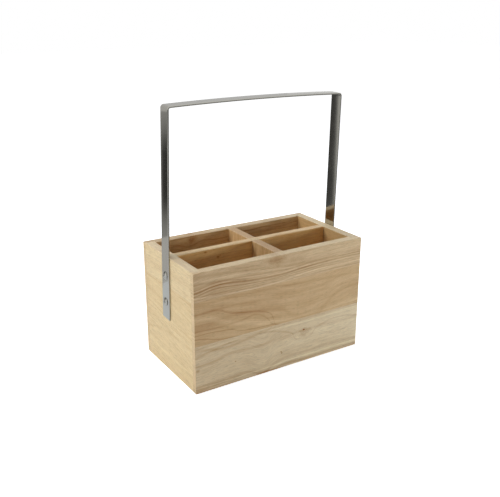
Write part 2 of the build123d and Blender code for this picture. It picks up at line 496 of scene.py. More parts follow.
def board_material(
    name,
    lies="x",
    seed=0.0,
    pale=(228, 206, 168),
    brown=(196, 158, 112),
    figure=0.6,
    layer=3.0,
    heart=(0.0, 45.0),
    drift=0.0,
    end_colour=(223, 195, 152),
    crossing=None,
    rim_tint=None,
    guide=(),
    dark_lines=(),
    pale_lines=(),
    knots=(),
    specks=(),
    seams=(),
):
    """The wood of one board. Lines are (points, width, strength), with points in mm.

    A knot is (along, across, radius along, radius across, strength), a speck (along, across,
    radius, strength). guide is the line that all of the board's grain follows, if it has one, and
    drift is how much browner the board gets over 100 mm of its length. crossing is the middle and
    half width, in y, of a stretch of rim that is drawn without end grain.
    The rim's colour is multiplied by the rim tint, which is painted light: a rim faces up into other
    light than the faces and looks greyer.
    """
    material, tree, shader = new_material(name)
    spot = tree.nodes.new("ShaderNodeTexCoord").outputs
    world_place = scaled(tree, spot["Object"], (1 / MM,) * 3)
    parts = [add_node(tree, "ShaderNodeSeparateXYZ", {0: world_place}, output=i) for i in range(3)]
    facing = [
        add_node(tree, "ShaderNodeSeparateXYZ", {0: spot["Normal"]}, output=i) for i in range(3)
    ]
    along, across, through = (parts[axis] for axis in AXES[lies])
    place = add_node(tree, "ShaderNodeCombineXYZ", {0: along, 1: across, 2: through})
    end_grain = between(tree, calculate(tree, "ABSOLUTE", facing[AXES[lies][0]]), 0.6, 0.9)
    if crossing:
        off = calculate(tree, "ABSOLUTE", calculate(tree, "SUBTRACT", parts[1], crossing[0]))
        end_grain = calculate(
            tree, "MULTIPLY", end_grain, between(tree, off, crossing[1] - 0.1, crossing[1] + 0.1)
        )
    past_x = calculate(tree, "SUBTRACT", calculate(tree, "ABSOLUTE", parts[0]), INSIDE_X)
    past_y = calculate(tree, "SUBTRACT", calculate(tree, "ABSOLUTE", parts[1]), INSIDE_Y)
    walled_in = between(tree, calculate(tree, "MAXIMUM", past_x, past_y), 0.4, 0.1)
    below_rim = between(tree, parts[2], *RIM_STARTS)
    inside = calculate(tree, "MULTIPLY", walled_in, below_rim)

    flow = across
    if guide:
        flow = calculate(tree, "SUBTRACT", across, grain_curve(tree, along, guide))
    dark = [grain_line(tree, along, across, *line) for line in dark_lines]
    if drift:
        dark.append(calculate(tree, "MULTIPLY", along, drift / 100))
    pale_marks = [grain_line(tree, along, across, *line) for line in pale_lines]
    for x, z, radius_x, radius_z, strength in knots:
        away = knot_distance(tree, along, across, (x, z, radius_x, radius_z))
        uneven = noise(tree, place, (1.3 / radius_x, 1.3 / radius_z, 0.0), 2.0, 0.6)
        away = calculate(tree, "ADD", away, calculate(tree, "MULTIPLY_ADD", uneven, 1.4, -0.7))
        near = between(tree, away, 1.25, 0.35)
        rings = calculate(tree, "MULTIPLY", away, radius_z * 1.6)
        flow = add_node(tree, "ShaderNodeMix", {0: near, 2: flow, 3: rings})
        dark.append(between(tree, away, 1.15, 0.2, 0.0, strength))
    for x, z, radius, strength in specks:
        away = knot_distance(tree, along, across, (x, z, radius * 1.3, radius))
        dark.append(between(tree, away, 1.3, 0.3, 0.0, strength))
    outside = between(tree, past_x, 0.1, 0.4)
    lap = calculate(tree, "SUBTRACT", calculate(tree, "ABSOLUTE", parts[1]), LAP_Y)
    lap = between(tree, calculate(tree, "ABSOLUTE", lap), LAP_LINE, 0.0, 0.0, 0.5)
    dark.append(calculate(tree, "MULTIPLY", lap, outside))
    seam_axis = 1 if lies == "floor" else 2
    for seam in seams:
        off = calculate(tree, "ABSOLUTE", calculate(tree, "SUBTRACT", parts[seam_axis], seam))
        dark.append(between(tree, off, GLUE_LINE, GLUE_LINE / 3, 0.0, 0.30))

    wood = tree.nodes.new("ShaderNodeGroup")
    wood.node_tree = wood_group
    for key, value in (
        ("Place", place), ("Flow", flow), ("End grain", end_grain), ("Inside", inside),
        ("Dark marks", total(tree, dark)), ("Pale marks", total(tree, pale_marks)),
    ):
        if isinstance(value, bpy.types.NodeSocket):
            tree.links.new(value, wood.inputs[key])
        else:
            wood.inputs[key].default_value = value
    for key, value in (
        ("Seed", seed), ("Heart", (0.0, *heart)), ("Layer", layer), ("Figure", figure),
        ("Pale", colour(*pale)), ("Brown", colour(*brown)), ("End colour", colour(*end_colour)),
    ):
        wood.inputs[key].default_value = value
    surface = wood.outputs["Colour"]
    # painted light: the rim's upward faces get a tint of their own
    if rim_tint:
        greyer = mix_colours(tree, 1.0, surface, (*rim_tint, 1.0), "MULTIPLY")
        surface = mix_colours(tree, between(tree, facing[2], 0.5, 0.9), surface, greyer)
    tree.links.new(surface, shader.inputs["Base Color"])
    tree.links.new(wood.outputs["Roughness"], shader.inputs["Roughness"])
    bump = add_node(
        tree,
        "ShaderNodeBump",
        {"Strength": 0.35, "Distance": 0.12 * MM, "Height": wood.outputs["Height"]},
    )
    tree.links.new(bump, shader.inputs["Normal"])
    shader.inputs["Specular IOR Level"].default_value = 0.35
    return material


def dress(node, **choices):
    """Give a solid board its wood."""
    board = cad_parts[node]
    board.data.materials.clear()
    board.data.materials.append(board_material(f"wood_{node}", **choices))
    for_faces = np.zeros(len(board.data.polygons), dtype=np.int32)
    board.data.polygons.foreach_set("material_index", for_faces)


print("lying:", list(AXES))

# %% [markdown]
# The front panel faces the viewer, so its three boards are drawn with the most care. The top one
# has brown wavy stripes over a pale line and a swirl under the rim. The middle one is the
# brownest, with grain that falls from the left and runs out into a long flame. The bottom one
# is pale and quiet, with a small knot and a brown stripe along its lower edge.

# %% The front panel
UPPER_SEAM = 115.0
LOWER_SEAM = 61.0
dress(
    "front_board_top",
    seed=1.0,
    pale=(220, 194, 154),
    brown=(176, 138, 96),
    figure=0.7,
    layer=2.2,
    drift=-0.14,
    heart=(-22.0, 20.0),
    guide=((-120, 5), (-86, 9), (-43, 7), (-9, 5), (34, 8), (75, 9), (120, 9)),
    dark_lines=(
        (
            ((-120, 126), (-90, 130.5), (-45, 127), (-5, 125.5), (34, 128), (75, 129), (120, 129)),
            1.7, 0.62,
        ),
        (
            ((-120, 122.5), (-95, 127), (-60, 124.5), (-20, 122.5), (20, 124), (60, 125.5), (120, 125.5)),
            1.1, 0.45,
        ),
        (
            ((-120, 129.5), (-92, 134), (-45, 130), (-5, 129), (34, 131.5), (75, 132.5), (120, 132)),
            1.0, 0.4,
        ),
        (((20, 121.5), (60, 123), (90, 122), (120, 122.5)), 0.9, 0.4),
        (
            ((-120, 145), (-80, 143), (-40, 139), (-10, 136), (25, 134), (60, 132.5), (120, 131.5)),
            3.0, 0.22,
        ),
        (((-120, 136), (-60, 134), (0, 131), (60, 131), (120, 133)), 1.6, 0.25),
        (((0, 118), (40, 117), (80, 117.5), (120, 116.5)), 1.4, 0.25),
    ),
    pale_lines=(
        (
            ((-120, 120), (-95, 118), (-60, 116.5), (-20, 116), (40, 121), (80, 121), (120, 121)),
            1.8, 0.35,
        ),
        (((-105, 139), (-60, 138), (-15, 134), (20, 131), (60, 131)), 2.2, 0.25),
        painted_rim_light(120, 0.3),
    ),
    knots=((-9.0, 145.0, 17.0, 7.5, 0.5), (14.0, 140.0, 16.0, 4.0, 0.3)),
    seams=(UPPER_SEAM,),
)
dress(
    "front_board_middle",
    seed=2.0,
    pale=(214, 184, 140),
    brown=(178, 136, 91),
    figure=0.6,
    drift=-0.13,
    layer=5.0,
    heart=(-4.0, 60.0),
    guide=(
        (-120, 7), (-86, 5), (-51, 0), (-17, -6), (10, -11), (35, -12), (75, -8), (95, -3), (120, 0),
    ),
    dark_lines=(
        (
            ((-120, 100), (-86, 99), (-78, 95), (-51, 88), (-30, 84), (-17, 78), (-12, 68), (-8, 58)),
            2.4, 0.4,
        ),
        (((-120, 70), (-106, 68), (-96, 65), (-80, 62)), 1.3, 0.55),
        (((-95, 74), (-87, 73), (-74, 72), (-60, 67), (-45, 65)), 1.3, 0.45),
        (((-55, 80), (-40, 82.5), (-28, 78), (-20, 71), (-14, 64)), 2.0, 0.3),
        (((-60, 101), (-20, 98), (20, 93), (60, 92), (120, 94)), 2.6, 0.2),
        (((0, 80), (10, 72), (30, 63), (55, 64), (75, 78), (88, 86), (120, 88)), 6.0, 0.2),
        (((-120, 111), (-60, 112), (0, 110), (60, 107), (120, 104)), 3.0, 0.22),
    ),
    pale_lines=(
        (((-104, 93), (-85, 85), (-60, 77), (-40, 73), (-25, 68)), 6.5, 0.35),
        (((20, 70), (50, 74), (70, 90), (120, 100)), 5.0, 0.12),
    ),
    seams=(UPPER_SEAM, LOWER_SEAM),
)
dress(
    "front_board_bottom",
    seed=3.0,
    pale=(233, 215, 180),
    brown=(190, 157, 115),
    figure=0.5,
    drift=-0.18,
    layer=6.0,
    heart=(50.0, 55.0),
    guide=((-120, 14), (-51, 14), (-27, 6), (-10, 14), (40, 17), (120, 17)),
    dark_lines=(
        (((-120, 6), (-80, 7), (-51, 8), (-30, 3), (-20, 0)), 6.0, 0.5),
        (((-30, 0), (-12, 8), (0, 12), (40, 13), (90, 13), (120, 11)), 4.0, 0.3),
        (((-10, 2), (0, 4), (40, 3), (120, 3)), 3.6, 0.55),
        (((-120, 57), (-100, 53), (-85, 50), (-60, 52), (-20, 58)), 3.5, 0.28),
        (((-96, 36), (-80, 40), (-55, 41), (-30, 40), (-10, 42)), 3.5, 0.25),
        (((15, 44), (20, 35), (33, 32.5), (46, 35), (52, 42)), 2.4, 0.28),
        (((60, 34), (80, 29), (100, 30), (120, 38)), 2.0, 0.12),
    ),
    pale_lines=(
        (((-10, 7), (10, 8), (60, 8), (120, 8)), 1.4, 0.4),
        (((-120, 2), (-80, 4), (-45, 7), (-25, 4)), 1.0, 0.3),
        (((-90, 56), (-60, 57), (0, 56), (60, 55), (120, 57)), 1.8, 0.25),
    ),
    knots=((33.4, 42.0, 13.5, 8.5, 0.30),),
    specks=(
        (33.2, 44.2, 1.1, 1.5), (-0.9, 22.6, 0.8, 1.3), (0.2, 20.6, 0.8, 1.5),
        (-66.5, 28.3, 0.9, 0.8), (-117, 30, 2.2, 0.4), (-40, 30, 0.7, 0.4), (80, 50, 0.7, 0.4),
    ),
    seams=(LOWER_SEAM,),
)
print("front panel drawn")

# %% [markdown]
# The end panels and the back are quieter. The left end is the palest side, with faint lines that
# slope a little. Its top seam shows as a thin darker line. The back panel shows only the top of
# its inner face, which has a knot with wavy grain round it. The rims of the end panels are
# tinted greyer than their faces, and some rims are darkened and others paled by a line along
# them: this is painted light, for the light that a rim takes from above.

# %% The other walls
END_UPPER_SEAM = 112.5
END_LOWER_SEAM = 60.0
dress(
    "left_board_top", lies="y", seed=4.0, pale=(233, 211, 167), brown=(208, 177, 131),
    figure=0.7, layer=5.0, heart=(170.0, 30.0), seams=(END_UPPER_SEAM,), rim_tint=(0.99, 1.01, 1.12),
    dark_lines=(painted_rim_light(66, 0.45), (((-66, 111.8), (66, 111.8)), 1.6, 0.4)),
    pale_lines=((((-66, 114.5), (0, 115), (66, 114.5)), 2.0, 0.2),),
)
dress(
    "left_board_middle", lies="y", seed=5.0, pale=(232, 208, 161), brown=(205, 172, 124),
    figure=0.8, layer=4.5, heart=(40.0, 30.0), seams=(END_UPPER_SEAM, END_LOWER_SEAM),
    guide=((-66, -8), (-40, -4), (0, 3), (40, 7), (66, 8)),
    dark_lines=(
        (((-66, 66), (-40, 68), (-10, 68), (20, 72), (66, 77)), 1.6, 0.35),
        (((-66, 62), (-30, 63), (0, 66), (66, 70)), 1.2, 0.2),
        (((-66, 110), (66, 110.5)), 2.0, 0.3),
    ),
)
dress(
    "left_board_bottom", lies="y", seed=6.0, pale=(235, 212, 166), brown=(208, 177, 128),
    figure=0.8, layer=5.0, heart=(10.0, 35.0), seams=(END_LOWER_SEAM,),
    guide=((-66, -8), (-40, -4), (0, 3), (40, 7), (66, 8)),
    dark_lines=(
        (((-66, 48), (-20, 53), (20, 57), (66, 58)), 1.2, 0.22),
        (((-66, 28), (0, 30), (66, 29)), 1.6, 0.2),
        (((30, 48), (50, 42), (66, 36)), 4.0, 0.2),
    ),
    pale_lines=((((-66, 22), (0, 20), (66, 22)), 3.0, 0.25),),
)
BACK_LINES = (
    painted_rim_light(120, 0.3),
    (((-108, 143), (-82, 141), (-62, 136), (-42, 141), (-20, 139), (8, 142)), 1.6, 0.4),
    (((-108, 137), (-84, 136), (-62, 130), (-42, 134), (-20, 134), (8, 136)), 1.4, 0.3),
    (((8, 146), (30, 142), (50, 144), (75, 140), (108, 143)), 1.6, 0.35),
)
# The right boards are written darker than the left ones, in part as painted shade that tones down the key
# light on their inner faces, and their rims are tinted lighter again.
for number, part in enumerate(("top", "middle", "bottom")):
    seams = ((END_UPPER_SEAM,), (END_UPPER_SEAM, END_LOWER_SEAM), (END_LOWER_SEAM,))[number]
    dress(
        f"right_board_{part}", lies="y", seed=7.0 + number, figure=0.6, layer=4.0 + number,
        heart=(60.0 * number, 35.0), seams=seams, rim_tint=(1.10, 1.14, 1.28),
        pale_lines=(painted_rim_light(66, 0.5),) if part == "top" else (),
        pale=((203, 176, 132), (210, 181, 136), (224, 202, 164))[number],
        brown=((186, 152, 110), (184, 148, 104), (196, 164, 122))[number],
    )
    face_seams = ((UPPER_SEAM,), (UPPER_SEAM, LOWER_SEAM), (LOWER_SEAM,))[number]
    dress(
        f"back_board_{part}", seed=10.0 + number, figure=1.0, layer=3.0 + number, drift=-0.15,
        heart=((150.0, 25.0), (80.0, 50.0), (-20.0, 40.0))[number], seams=face_seams,
        pale=((226, 206, 170), (228, 207, 172), (224, 200, 160))[number],
        brown=((184, 150, 111), (196, 163, 121), (190, 152, 108))[number],
        knots=(((-58.0, 145.0, 9.0, 6.0, 0.5),), (), ((48.0, 30.0, 12.0, 8.0, 0.3),))[number],
        dark_lines=BACK_LINES if part == "top" else (),
    )

print("end and back panels dressed")

# %% [markdown]
# The long divider's faces lie in the shade of the compartments and are still fairly pale in the
# picture, so its wood is written paler than the rest, and its rim, which is in full light, is
# darkened and greyed again. The boards of the cross divider stand on end: their grain runs
# upright on both faces and comes out as end grain at the rim, except where the long divider
# would pass. The floor is hardly seen, so its two boards stay plain.

# %% The dividers and the floor
dress(
    "long_divider_upper", seed=14.0, pale=(253, 223, 167), brown=(216, 170, 113),
    figure=0.95, layer=3.5, heart=(120.0, 40.0), seams=(63.0,), rim_tint=(0.87, 0.94, 1.10),
    dark_lines=(painted_rim_light(108, 0.6),),
    specks=((-70.0, 147.0, 1.6, 0.7), (-53.0, 138.0, 1.8, 0.8), (-50.0, 139.5, 1.2, 0.5)),
)
dress(
    "long_divider_lower", seed=15.0, pale=(224, 198, 156), brown=(192, 155, 110),
    figure=0.55, layer=4.0, heart=(30.0, 45.0), seams=(63.0,),
)
dress(
    "cross_divider_upper", lies="upright", seed=16.0, pale=(214, 187, 146), brown=(180, 143, 98),
    figure=0.9, layer=3.0, heart=(60.0, 30.0), seams=(96.0,), end_colour=(188, 153, 114),
    crossing=(1.5, 5.0),
)
dress(
    "cross_divider_lower", lies="upright", seed=17.0, pale=(216, 188, 146), brown=(184, 147, 104),
    figure=0.9, layer=3.0, heart=(60.0, 30.0), seams=(96.0,),
)
dress(
    "floor_board_front", lies="floor", seed=18.0, pale=(224, 198, 156), brown=(192, 155, 110),
    figure=0.6, layer=4.0, heart=(-30.0, -40.0), seams=(1.5,),
)
dress(
    "floor_board_back", lies="floor", seed=19.0, pale=(228, 204, 164), brown=(196, 160, 116),
    figure=0.6, layer=3.0, heart=(40.0, -45.0), seams=(1.5,),
)
print("every wooden piece dressed")

# %% [markdown]
# ## Surfaces on a grid
#
# The handle and its screws are surfaces of the same kind: a closed ring of points, carried along
# and changed a little from place to place. The points are worked out as one whole array, and
# this helper joins each ring to the next with four-sided faces and closes both ends.

# %% From rings of points to a mesh
def mesh_from_rings(name, rings, across=None, along=None):
    """A closed mesh from an array of rings (rings, points of a ring, xyz), in metres.

    Point j of ring i is joined to point j + 1 and to ring i + 1. The first and the last ring are
    closed with one flat face each. The UV map holds metres along the rings' path and metres
    round the ring, so that a brushed finish can follow the bar.
    """
    count, around, _ = rings.shape
    ring, place = np.meshgrid(np.arange(count - 1), np.arange(around), indexing="ij")
    following = (place + 1) % around
    quads = np.stack(
        (
            ring * around + place,
            ring * around + following,
            (ring + 1) * around + following,
            (ring + 1) * around + place,
        ),
        axis=-1,
    ).reshape(-1, 4)
    first_end = np.arange(around)[::-1]
    last_end = np.arange(around) + (count - 1) * around
    faces = quads.tolist() + [first_end.tolist(), last_end.tolist()]

    mesh = bpy.data.meshes.new(name)
    mesh.from_pydata(rings.reshape(-1, 3).tolist(), [], faces)
    mesh.update()
    if along is not None:
        seam = np.append(across, across[-1] + hypot(*(rings[0, 0] - rings[0, -1])))
        quad_u = np.stack((along[ring], along[ring], along[ring + 1], along[ring + 1]), axis=-1)
        quad_v = np.stack((seam[place], seam[place + 1], seam[place + 1], seam[place]), axis=-1)
        quad_uv = np.stack((quad_u, quad_v), axis=-1).reshape(-1, 2)
        end_uv = np.concatenate(
            (
                np.stack((np.full(around, along[0]), across[::-1]), axis=-1),
                np.stack((np.full(around, along[-1]), across), axis=-1),
            )
        )
        layer = mesh.uv_layers.new(name="bar")
        layer.data.foreach_set("uv", np.concatenate((quad_uv, end_uv)).ravel())
    mesh.polygons.foreach_set("use_smooth", np.ones(len(faces), dtype=bool))
    return mesh


def add_piece(name, mesh, material, slot, *nodes):
    """Put a finished mesh in the scene, on the body, in place of the solids that it dresses."""
    piece = bpy.data.objects.new(name, mesh)
    piece.data.materials.append(material)
    bpy.context.scene.collection.objects.link(piece)
    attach(piece, BODY)
    if nodes:
        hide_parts(*nodes)
    triangles = sum(len(face.vertices) - 2 for face in mesh.polygons)
    print(name, "triangles:", triangles)


print("mesh helpers ready")

# %% [markdown]
# ## The handle
#
# The handle is one flat steel bar, 18 by 2 mm, bent cold: two straight legs, a very slight bend
# where each leg leaves the box, two tight bends at the top and a top bar with a little crown. A
# bender feeds a length of bar and turns it by an angle, so the line is written the same way. A
# straight stretch has a length and no turn, and an arc has both. The heading grows evenly over
# each stretch, and adding up small steps in that heading gives exact straights and arcs.

# %% Sizes of the bar, as the solid has them
STRAP_WIDTH = 18.0 * MM
STRAP_THICKNESS = 2.0 * MM
STRAP_BELOW = 39.0 * MM             # from the screws' middle down to the end of the bar
HANDLE_RISE = 215.0 * MM            # from the screws' middle up to the top corners
HANDLE_ARCH = 2.0 * MM
HANDLE_DRAW_IN = 2.5 * MM
HANDLE_LEAN = radians(2.2)
TOP_BEND = 4.0 * MM                 # outside radius
RIM_BEND = 150.0 * MM
RIM_HEIGHT = 150.0 * MM
SCREWS_BELOW_RIM = 40.0 * MM
SCREW_SPACING = 34.0 * MM
DIVIDER_BACK = 1.5 * MM
END_FACE_X = 120.0 * MM

handle_origin = np.array((0.0, DIVIDER_BACK, RIM_HEIGHT - SCREWS_BELOW_RIM))
handle_right = np.array((1.0, 0.0, 0.0))
handle_up = np.array((0.0, -sin(HANDLE_LEAN), cos(HANDLE_LEAN)))
handle_front = np.array((0.0, -cos(HANDLE_LEAN), -sin(HANDLE_LEAN)))

half_thickness = STRAP_THICKNESS / 2
rim_on_handle = SCREWS_BELOW_RIM / cos(HANDLE_LEAN)
leg_turn = atan2(HANDLE_DRAW_IN, HANDLE_RISE - rim_on_handle)
top_corner_x = END_FACE_X + STRAP_THICKNESS - HANDLE_DRAW_IN
arch_radius = (top_corner_x**2 + HANDLE_ARCH**2) / (2 * HANDLE_ARCH)
arch_turn = atan2(top_corner_x, arch_radius - HANDLE_ARCH)
corner_turn = pi / 2 - leg_turn - arch_turn
rim_tangent = RIM_BEND * tan(leg_turn / 2)
corner_tangent = TOP_BEND * tan(corner_turn / 2)
upper_leg = hypot(HANDLE_DRAW_IN, HANDLE_RISE - rim_on_handle) - rim_tangent - corner_tangent
arch_half = arch_radius * arch_turn - corner_tangent

# each stretch is (length of its middle line, how far it turns, number of rings)
half_bar = [
    (STRAP_BELOW + rim_on_handle - rim_tangent, 0.0, 24),
    ((RIM_BEND - half_thickness) * leg_turn, leg_turn, 4),
    (upper_leg, 0.0, 40),
    ((TOP_BEND - half_thickness) * corner_turn, corner_turn, 20),
]
bar_stretches = half_bar + [(2 * arch_half, 2 * arch_turn, 60)] + half_bar[::-1]
print("corner turn:", round(corner_turn * 180 / pi, 2), "degrees; top bar",
      round(2 * arch_half / MM, 1), "mm")

# %% [markdown]
# A bender's list of lengths and turns becomes points by adding up small steps. A step along an
# arc is a chord, a little shorter than the arc itself, and using the chord keeps every point
# exactly on the line, however few the steps are. The bar starts at the foot of the left leg and
# heads straight up.

# %% The bar's middle line
def bent_line(stretches, start, heading):
    """Points, headings and lengths along a bent bar.

    The heading is a straight-line function of the length along each stretch, which makes
    straights and arcs. Each step moves by its chord, ds * sin(turn / 2) / (turn / 2), in the
    direction halfway between its two headings.
    """
    lengths = np.concatenate([np.full(n, length / n) for length, turn, n in stretches])
    turns = np.concatenate([np.full(n, turn / n) for length, turn, n in stretches])
    headings = heading - np.concatenate(((0.0,), np.cumsum(turns)))
    middle = (headings[:-1] + headings[1:]) / 2
    chords = lengths * np.sinc(turns / (2 * pi))
    x = start[0] + np.concatenate(((0.0,), np.cumsum(chords * np.cos(middle))))
    y = start[1] + np.concatenate(((0.0,), np.cumsum(chords * np.sin(middle))))
    return x, y, headings, np.concatenate(((0.0,), np.cumsum(lengths)))


line_x, line_y, line_heading, line_length = bent_line(
    bar_stretches, (-(END_FACE_X + half_thickness), -STRAP_BELOW), pi / 2
)
print("length of bar:", round(line_length[-1] / MM, 1), "mm; ends",
      [round(v / MM, 3) for v in (line_x[0], line_x[-1], line_y[0], line_y[-1])])

# %% [markdown]
# The section of flat bar is not a sharp rectangle. Its outer edges are rolled over, its inner
# ones are crisp and only deburred, and its faces are crowned by a few hundredths of a millimetre.
# That crown can't be measured in a picture, but it is what makes a soft line of light run down
# the length of a polished bar. The ring below has two faces, each a very shallow parabola, and
# four quarter circles at its corners, wide ones outside and narrow ones inside.

# %% The section of the bar
OUTER_EDGE = 0.75 * MM              # rolled over by the shears
INNER_EDGE = 0.20 * MM              # only deburred
FACE_CROWN = 0.06 * MM
FACE_POINTS = 13
CORNER_POINTS = 6


def half_section(width, thickness, edge):
    """One face, from -w to +w, and the corner after it, both across and through the bar.

    The face is a row of points whose height falls off with the square of the distance from the
    middle, so that it keeps a slight crown. The corner is a quarter circle.
    """
    half_face = width / 2 - edge
    spread = half_face * np.sin(np.linspace(-pi / 2, pi / 2, FACE_POINTS))
    face_height = thickness / 2 - FACE_CROWN * (spread / half_face) ** 2
    shoulder = thickness / 2 - FACE_CROWN - edge
    angle = np.linspace(pi / 2, 0, CORNER_POINTS)[1:]
    corner_w = half_face + edge * np.cos(angle)
    corner_t = shoulder + edge * np.sin(angle)
    return spread, face_height, corner_w, corner_t


def bar_section(width, thickness):
    """Points round the bar: the outer face and corner, the inner corner and face, and back."""
    outer_w, outer_t, turn_w, turn_t = half_section(width, thickness, OUTER_EDGE)
    inner_w, inner_t, back_w, back_t = half_section(width, thickness, INNER_EDGE)
    w = np.concatenate((outer_w, turn_w, back_w[::-1], inner_w[::-1], -back_w, -turn_w[::-1]))
    t = np.concatenate((outer_t, turn_t, -back_t[::-1], -inner_t[::-1], -back_t, turn_t[::-1]))
    return w, t


section_w, section_t = bar_section(STRAP_WIDTH, STRAP_THICKNESS)
section_steps = np.hypot(np.diff(section_w), np.diff(section_t))
section_round = np.concatenate(((0.0,), np.cumsum(section_steps)))
print("points in the section:", len(section_w))

# %% [markdown]
# The handle is now that section carried along that line. At each point the section is set square
# to the heading, with its width along the front of the handle's tilted plane. The two ends
# are sheared and then rounded over with a file, so the last few sections shrink a little.

# %% The section carried along the line
END_RINGS = 5
END_EDGE = 0.45 * MM


def strap_rings():
    """The section carried along the bent line, with the sheared ends rounded over.

    Near each end the section shrinks like a quarter circle of radius END_EDGE. The outside of
    the handle is on the left of the heading, and each point is
    middle + w * front + t * outward.
    """
    ease = 1 - np.cos(np.linspace(0, pi / 2, END_RINGS))
    shrink = END_EDGE * (1 - np.sin(np.linspace(0, pi / 2, END_RINGS)))
    stations = np.concatenate(
        (END_EDGE * ease, line_length[1:-1], line_length[-1] - END_EDGE * ease[::-1])
    )
    inset = np.concatenate((shrink, np.zeros(len(line_length) - 2), shrink[::-1]))
    x = np.interp(stations, line_length, line_x)
    y = np.interp(stations, line_length, line_y)
    heading = np.interp(stations, line_length, line_heading)
    w_scale = (STRAP_WIDTH / 2 - inset) / (STRAP_WIDTH / 2)
    t_scale = (half_thickness - inset) / half_thickness
    w = section_w[None, :] * w_scale[:, None]
    t = section_t[None, :] * t_scale[:, None]
    outward = (
        -np.sin(heading)[:, None] * handle_right[None, :]
        + np.cos(heading)[:, None] * handle_up[None, :]
    )
    middle = handle_origin + x[:, None] * handle_right + y[:, None] * handle_up
    rings = (
        middle[:, None, :]
        + w[:, :, None] * handle_front[None, None, :]
        + t[:, :, None] * outward[:, None, :]
    )
    return rings, stations


bar_rings, bar_stations = strap_rings()
print("rings:", bar_rings.shape)

# %% [markdown]
# ## The screws
#
# Each leg is held by two pan-head screws with a cross recess. A head is a dome turned about its
# axis, so it is a grid of radius and angle. The recess is not cut out. Instead each point of the
# dome is lowered by how far it lies inside the cross, which gives the tapered walls that
# a driver bit needs, with no broken faces.

# %% One screw
HEAD_RADIUS = 5.0 * MM
HEAD_HEIGHT = 2.3 * MM
HEAD_RIM = 0.35 * MM                  # height of the straight edge under the dome
RECESS_REACH = 2.5 * MM               # from the axis to the tip of an arm
RECESS_HALF_WIDTH = 0.55 * MM
RECESS_DEPTH = 1.3 * MM
RECESS_WALL = 0.35 * MM               # how wide its sloping walls are
SHANK_RADIUS = 2.1 * MM
SHANK_LENGTH = 30.0 * MM
SHANK_POINT = 5.0 * MM
SHANK_TIP = 0.2 * MM                  # radius of the blunt end of the point
HEAD_FOOT_SHADE = 0.7                 # painted shade in the corner round the foot of a head
HEAD_RINGS = 44
SCREW_AROUND = 128


def smooth_step(value):
    """0 below 0, 1 above 1, and 3v^2 - 2v^3 between."""
    held = np.clip(value, 0, 1)
    return held * held * (3 - 2 * held)


def screw_rings(turn):
    """Rings of one screw, with its axis up and z = 0 under the head, from the point upwards.

    The profile is the point, the shank, the underside of the head, its rim and the dome, which
    is a circle's cap. The cross is the union of two bars, and its depth fades in over its walls.
    The second result is painted shade, how dark each point is made: 1 at the bottom of the cross,
    and HEAD_FOOT_SHADE round the foot of the head.
    """
    crown = HEAD_HEIGHT - HEAD_RIM
    ball = (HEAD_RADIUS**2 + crown**2) / (2 * crown)
    dome_radius = HEAD_RADIUS * np.linspace(1, 0, HEAD_RINGS + 1)[:-1]
    dome_height = HEAD_RIM + np.sqrt(ball**2 - dome_radius**2) - (ball - crown)
    lower_radius = (SHANK_TIP, SHANK_RADIUS, SHANK_RADIUS, HEAD_RADIUS * 0.96, HEAD_RADIUS)
    lower_height = (-SHANK_LENGTH, SHANK_POINT - SHANK_LENGTH, 0, 0, HEAD_RIM * 0.3)
    profile_radius = np.concatenate((lower_radius, dome_radius))
    profile_height = np.concatenate((lower_height, dome_height))
    angle = np.arange(SCREW_AROUND) * 2 * pi / SCREW_AROUND
    x = profile_radius[:, None] * np.cos(angle)[None, :]
    y = profile_radius[:, None] * np.sin(angle)[None, :]
    a = np.abs(x * cos(turn) + y * sin(turn))
    b = np.abs(y * cos(turn) - x * sin(turn))
    inside_first = np.minimum(RECESS_REACH - a, RECESS_HALF_WIDTH - b)
    inside_second = np.minimum(RECESS_REACH - b, RECESS_HALF_WIDTH - a)
    inside = np.maximum(inside_first, inside_second)
    sink = RECESS_DEPTH * smooth_step(inside / RECESS_WALL)
    on_dome = (np.arange(len(profile_radius)) >= len(lower_radius))[:, None]
    z = profile_height[:, None] - sink * on_dome
    foot = (np.abs(profile_height - HEAD_RIM / 2) < HEAD_RIM)[:, None] * HEAD_FOOT_SHADE
    return np.stack((x, y, z), axis=-1), np.maximum(sink * on_dome / RECESS_DEPTH, foot)


print("one screw has", SCREW_AROUND, "points round it and", HEAD_RINGS, "rings on its dome")

# %% [markdown]
# The same screw is used four times, two to a leg. A driver leaves every cross at an angle of its
# own, so each screw gets its own turn. Those on the right leg face the other way. All four share
# one material, so they are joined in one mesh.

# %% The four screws, as the driver left them
RECESS_TURNS = (12.0, 40.0, 63.0, 28.0)      # degrees


def screw_mesh():
    """All four screws in one mesh: each is turned to its side and set on the bar's face."""
    places = [(side, up) for side in (-1, 1) for up in (-1, 1)]
    meshes, shades = [], []
    for (side, up), turn in zip(places, RECESS_TURNS):
        rings, painted_shade = screw_rings(radians(turn))
        shades.append(painted_shade.ravel())
        seat = (
            handle_origin
            + side * (END_FACE_X + STRAP_THICKNESS) * handle_right
            + up * SCREW_SPACING / 2 * handle_up
        )
        # its axis points outwards: local x, y, z become side * y, world z and side * x
        turned = np.stack((side * rings[..., 2], side * rings[..., 0], rings[..., 1]), axis=-1)
        meshes.append(mesh_from_rings(f"screw_{len(meshes)}", turned + seat))
    vertices, faces = [], []
    for mesh in meshes:
        start = len(vertices)
        vertices += [v.co[:] for v in mesh.vertices]
        faces += [[start + i for i in face.vertices] for face in mesh.polygons]
    joined = bpy.data.meshes.new("screws")
    joined.from_pydata(vertices, [], faces)
    joined.polygons.foreach_set("use_smooth", np.ones(len(faces), dtype=bool))
    shade_layer = joined.attributes.new("painted_shade", "FLOAT", "POINT")
    shade_layer.data.foreach_set("value", np.concatenate(shades))
    for mesh in meshes:
        bpy.data.meshes.remove(mesh)
    return joined


print("screw turns:", RECESS_TURNS)

